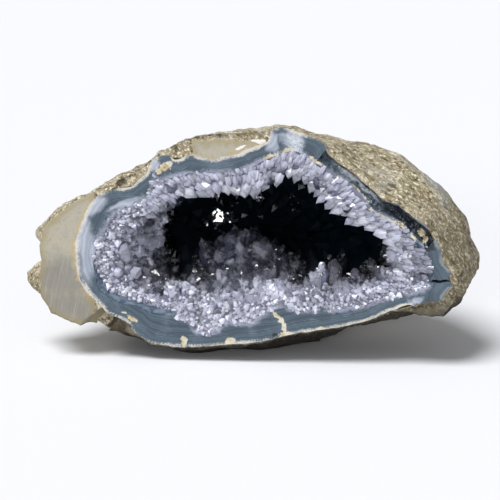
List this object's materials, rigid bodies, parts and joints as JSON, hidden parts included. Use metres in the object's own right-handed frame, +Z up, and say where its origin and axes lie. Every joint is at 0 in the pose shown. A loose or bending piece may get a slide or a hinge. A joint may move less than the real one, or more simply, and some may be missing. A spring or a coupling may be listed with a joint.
{
  "type": "geode half",
  "caption": "Half of a sawn agate geode lying on its rounded rind, with a banded agate rim round a hollow lined with quartz points.",
  "frame": {"origin": "on the ground, under the middle of the stone's box", "axes": "+X right across the sawn face, +Y from the sawn face into the stone, +Z up"},
  "size_m": [0.1626, 0.0772, 0.0868],
  "materials": {
    "host_rock": "rough weathered volcanic rock, sawn smooth on the face",
    "agate": "smooth blue-grey banded agate with a dull sheen",
    "quartz": "clear to milky quartz points with glassy faces"
  },
  "bodies": {
    "root": {"rock_rind": "host_rock", "agate_band": "agate", "crystal_crust": "quartz"}
  },
  "joints": []
}
